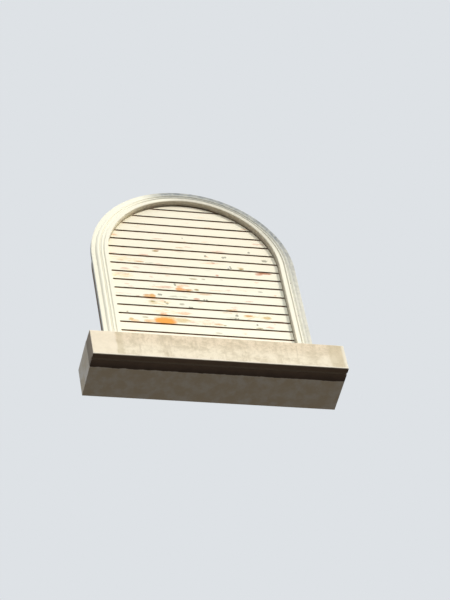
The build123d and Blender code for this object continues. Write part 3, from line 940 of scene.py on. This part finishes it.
def crumble(points):
    """Moves the front inward: an arris at both ends, and a wandering loss along the two long edges."""
    x, y, z = points[..., 0], points[..., 1], points[..., 2]
    to_front = y - FRONT_Y
    end = np.minimum(x - LEFT_X, RIGHT_X - x)
    loss = np.clip(ARRIS - end, 0.0, ARRIS) * (to_front < ARRIS)
    edge_gap = np.minimum(z, FACE_TOP_Z - z)
    near_edge = ramp(edge_gap, 5 * MM, 0.0) ** 2 * (to_front < 0.5 * MM)
    rough = np.clip(0.3 + 0.7 * wander(x, 0.23, 7, 9), 0.0, 1.0)
    return points_at(x, y + loss + CRUMBLED * rough * near_edge, z)


def sill_piece():
    """The stone with its two ends, and for each point whether it lies on the underside."""
    piece = Shell().carried(crumble(sharp_stone)).piece("weathered_sill")
    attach(piece, "root")
    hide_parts("stone_sill")
    points = points_of(piece.data)
    # The drip groove's walls take the underside's dark as well: painted shade over its lit wall.
    in_groove = (np.abs(points[:, 1] - DRIP_Y) < DRIP_RADIUS) & (points[:, 2] < 1.1 * DRIP_RADIUS)
    underside = ramp(points[:, 2], 0.8 * MM, 0.0)
    carry(piece.data, "under", np.maximum(underside, 0.9 * in_groove))
    shade_smooth(piece, 35.0)
    return piece


sill = sill_piece()
print("sill faces:", len(sill.data.polygons))

# %% [markdown]
# ## Stone
#
# The stone is a pale sandy beige, mottled with darker run-off in its upper half, and lighter along
# its edges and towards both ends. The front 50 mm of its underside are almost black, and so is the
# front of the left end: dirt where no rain reaches, and painted shade on faces turned down or away
# from the sun. Further back the stone lay bedded and stayed clean. Four noises colour it: a fine
# grain, broad clouds, a mottle between them, and one stretched along Z. A fifth makes small pits.
# The bands at the edges come from the place itself.

# %% Finish of the sill
DARK_FRONT_DEPTH = 50.0 * MM


def stained_face(tree, x, z, clouds, grains):
    """The open stone: clouds, run-off, mottle and grain, then damp places and lighter edges."""
    lower = step(tree, z, 20 * MM, 75 * MM, 1.0, 0.0)
    stone = mix(tree, lower, colour(245, 227, 200), colour(255, 243, 219))
    stone = mix(tree, step(tree, clouds, 0.42, 0.66, 0.0, 0.72), stone, colour(212, 197, 168))
    runs = noise(tree, (60.0, 20.0, 9.0), 6.0, 0.65)
    stone = mix(tree, step(tree, runs, 0.50, 0.70, 0.0, 0.55), stone, colour(204, 187, 158))
    mottle = noise(tree, (140.0, 140.0, 150.0), 6.0, 0.62, (4.0, 2.0, 6.0))
    mottled = product(tree, step(tree, mottle, 0.46, 0.66, 0.0, 0.5),
                      sums(tree, "SUBTRACT", 1.15, lower))
    stone = mix(tree, mottled, stone, colour(206, 188, 156))
    stone = mix(tree, step(tree, grains, 0.50, 0.75, 0.0, 0.45), stone, colour(186, 170, 142))
    clean = step(tree, x, LEFT_X + 62 * MM, LEFT_X + 70 * MM, 0.7, 0.0)
    stone = mix(tree, clean, stone, colour(253, 240, 217))
    seat_run = product(tree, step(tree, x, LEFT_X + 66 * MM, LEFT_X + 71 * MM),
                       step(tree, x, LEFT_X + 78 * MM, LEFT_X + 92 * MM, 0.5, 0.0))
    damp_right = step(tree, x, RIGHT_X - 52 * MM, RIGHT_X - 40 * MM, 0.0, 0.45)
    stone = mix(tree, larger(tree, seat_run, damp_right), stone, colour(206, 190, 156))
    # Lighter bands along the bottom and top edges and at the right end.
    ragged_z = sums(tree, "ADD", z, product(tree, clouds, 5 * MM))
    low_edge = step(tree, ragged_z, 4 * MM, 9 * MM, 0.9, 0.0)
    high_edge = step(tree, ragged_z, FACE_TOP_Z - 1 * MM, FACE_TOP_Z + 2 * MM, 0.0, 0.6)
    right_edge = step(tree, x, RIGHT_X - 12 * MM, RIGHT_X - 3 * MM, 0.0, 0.7)
    lighter_edges = larger(tree, larger(tree, low_edge, high_edge), right_edge)
    return mix(tree, lighter_edges, stone, colour(254, 247, 230))


def soot_shade_and_bed(tree, stone, x, y, clouds):
    """Soot and painted shade on the underside's and left end's front, clean bedded stone behind."""
    behind_face = sums(tree, "SUBTRACT", y, FRONT_Y)
    lit_part = step(tree, behind_face, 16 * MM, DARK_FRONT_DEPTH, 1.0, 0.0)
    # Nearly black tones: soot, and painted shade on faces turned down.
    soot_and_shade = mix(tree, clouds, mix(tree, lit_part, colour(48, 36, 31), colour(78, 62, 50)),
               mix(tree, lit_part, colour(82, 66, 56), colour(112, 94, 78)))
    left_end = step(tree, x, LEFT_X, LEFT_X + 0.8 * MM, 1.0, 0.0)
    right_end = step(tree, x, RIGHT_X - 0.8 * MM, RIGHT_X)
    under = stored(tree, "under")
    # Most of the same dark on the front of the left end, turned from the sun: soot and painted shade.
    sooty_and_shaded = larger(tree, under, product(tree, left_end, 0.8))
    bedded = larger(tree, larger(tree, left_end, right_end), under)
    ragged_y = sums(tree, "ADD", behind_face, product(tree, clouds, 10 * MM))
    covered = step(tree, ragged_y, DARK_FRONT_DEPTH + 3 * MM, DARK_FRONT_DEPTH + 7 * MM)
    bed_tone = mix(tree, step(tree, clouds, 0.40, 0.65), colour(182, 170, 152), colour(192, 186, 178))
    stone = mix(tree, product(tree, sooty_and_shaded, sums(tree, "SUBTRACT", 1.0, covered)), stone, soot_and_shade)
    return mix(tree, product(tree, bedded, covered), stone, bed_tone)


def sill_stone(tree, shader):
    """The stains, the soot over them, and a relief of grain and small pits."""
    grains = noise(tree, (700.0, 700.0, 700.0), 4.0, 0.7)
    clouds = noise(tree, (26.0, 26.0, 32.0), 7.0, 0.65)
    x, y, z = axes(tree)
    stone = stained_face(tree, x, z, clouds, grains)
    stone = soot_shade_and_bed(tree, stone, x, y, clouds)
    pits = noise(tree, (240.0, 240.0, 240.0), 3.0, shift=(2.0, 5.0, 1.0))
    pits = step(tree, pits, 0.62, 0.75)
    height = sums(tree, "SUBTRACT", sums(tree, "ADD", product(tree, grains, 0.4), 0.4), pits)
    return stone, step(tree, grains, 0.0, 1.0, 0.8, 0.95), height, 0.5 * MM


stone_finish = finish("sill_stone_stained", sill_stone)
coat(sill, stone_finish)
print("nodes in the stone's finish:", len(stone_finish.node_tree.nodes))

# %% [markdown]
# ## Wire cloth
#
# Behind the slats a galvanised wire cloth keeps birds and wasps out. It is welded: upright wires in
# one layer, level wires in the other, one every 3.2 mm. An image of a mesh on a plane would be
# flat, and real wires cost little when each is a thin six-sided tube. All tubes of a layer are one
# array by wire, station and side. All of them have the same faces, only with other point numbers.

# %% Welded wires inside the rebate
WIRE_PITCH, WIRE_RADIUS, WIRE_BOW = 3.2 * MM, 0.22 * MM, 0.35 * MM
WIRE_STATIONS, WIRE_SIDES = 9, 6
CLOTH_RADIUS, CLOTH_LOW_Z = screen_high.x, screen_low.z


def tubes(starts, ends, lean, seed):
    """Six-sided tubes between two sets of points.

    A point is start + t along + bow sin(pi t) lean + radius (side cos a + inward sin a).
    """
    t = np.linspace(0.0, 1.0, WIRE_STATIONS)[None, :, None, None]
    turn = np.linspace(0.0, 2 * np.pi, WIRE_SIDES, endpoint=False)[None, :, None]
    inward = np.array([0.0, 1.0, 0.0])
    along = ends - starts
    length = np.linalg.norm(along, axis=1, keepdims=True)
    side = np.cross(along / length, inward)[:, None, :]
    ring = side * np.cos(turn) + inward * np.sin(turn)
    bow = np.random.default_rng(seed).uniform(-WIRE_BOW, WIRE_BOW, len(starts))
    line = starts[:, None, None, :] + t * along[:, None, None, :]
    line = line + np.sin(np.pi * t) * bow[:, None, None, None] * lean
    return line + WIRE_RADIUS * ring[:, None, :, :]


def cloth_wires():
    """Upright wires reach up to the circle, level wires out to it: half a chord is sqrt(R R - d d)."""
    x = np.arange(-CLOTH_RADIUS + WIRE_PITCH / 2, CLOTH_RADIUS, WIRE_PITCH)
    top = SPRING_Z + np.sqrt(CLOTH_RADIUS ** 2 - x ** 2)
    layer_y = screen_low.y + WIRE_RADIUS
    upright = tubes(points_at(x, layer_y, CLOTH_LOW_Z), points_at(x, layer_y, top),
                    (1.0, 0.0, 0.0), 21)
    z = np.arange(CLOTH_LOW_Z + WIRE_PITCH / 2, SPRING_Z + CLOTH_RADIUS, WIRE_PITCH)
    reach = np.sqrt(CLOTH_RADIUS ** 2 - np.clip(z - SPRING_Z, 0, None) ** 2)
    layer_y = layer_y + 2 * WIRE_RADIUS
    level = tubes(points_at(-reach, layer_y, z), points_at(reach, layer_y, z), (0.0, 0.0, 1.0), 22)
    return np.concatenate([upright, level])


def cloth_piece():
    """All wires as one mesh: the faces of one wire, repeated with the point numbers of each."""
    wires = cloth_wires()
    count, stations, sides = wires.shape[:3]
    station = np.arange(stations - 1)[:, None]
    side = np.arange(sides)[None, :]
    after = (side + 1) % sides
    low, high = station * sides, (station + 1) * sides
    quads = np.stack([low + side, low + after, high + after, high + side], axis=-1).reshape(-1, 4)
    first = np.arange(count)[:, None] * stations * sides
    faces = (quads[None] + first[:, None]).reshape(-1, 4).tolist()
    faces += (first + np.arange(sides)[None, ::-1]).tolist()
    faces += (first + (stations - 1) * sides + np.arange(sides)[None]).tolist()
    mesh = bpy.data.meshes.new("wire_cloth")
    mesh.from_pydata(wires.reshape(-1, 3).tolist(), [], faces)
    close_seams(mesh, 0.000001)
    piece = in_scene("wire_cloth", mesh)
    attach(piece, "root")
    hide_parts("insect_screen")
    return piece


cloth = cloth_piece()
print("wires:", len(cloth_wires()), "faces:", len(cloth.data.polygons))

# %% [markdown]
# ## Wire, brads, battens and tenons
#
# What is left are plain finishes: dull zinc on the wire, rust on the brads, and bare timber on the
# battens that hold the cloth and on the tenons. They could be flat colours, but from behind the
# battens lie in plain view, so they get the grain of the frame's back.

# %% Finishes of the hidden pieces
def dull_zinc(tree, shader):
    """Grey zinc with duller, browner spots."""
    spots = noise(tree, (400.0, 400.0, 400.0), 3.0)
    shader.inputs["Metallic"].default_value = 0.6
    tint = mix(tree, step(tree, spots, 0.4, 0.7), colour(168, 170, 168), colour(118, 112, 102))
    return tint, step(tree, spots, 0.3, 0.8, 0.4, 0.7), spots, 0.05 * MM


def rusty_steel(tree, shader):
    """Dull steel that rusts in spots."""
    spots = noise(tree, (600.0, 600.0, 600.0), 5.0)
    shader.inputs["Metallic"].default_value = 0.3
    tint = mix(tree, step(tree, spots, 0.4, 0.65), colour(112, 100, 92), colour(120, 70, 44))
    return tint, step(tree, spots, 0.3, 0.8, 0.5, 0.85), spots, 0.1 * MM


def batten_timber(tree, shader):
    """The bare aged timber of before, in a warmer brown."""
    tint, grain = old_timber(tree, colour(168, 142, 110), colour(112, 90, 66))
    return tint, step(tree, grain, 0.0, 1.0, 0.7, 0.9), grain, 0.4 * MM


coat(cloth, finish("wire_dull_zinc", dull_zinc))
timber_finish = finish("batten_timber_bare", batten_timber)
steel_finish = finish("brad_steel_rusty", rusty_steel)
for name in ("batten_left", "batten_right", "batten_head", "batten_bottom", "loose_tenons"):
    coat(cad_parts[name], timber_finish)
for name in ("moulding_brads", "batten_brads"):
    coat(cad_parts[name], steel_finish)
print("finishes in all:", len(bpy.data.materials))
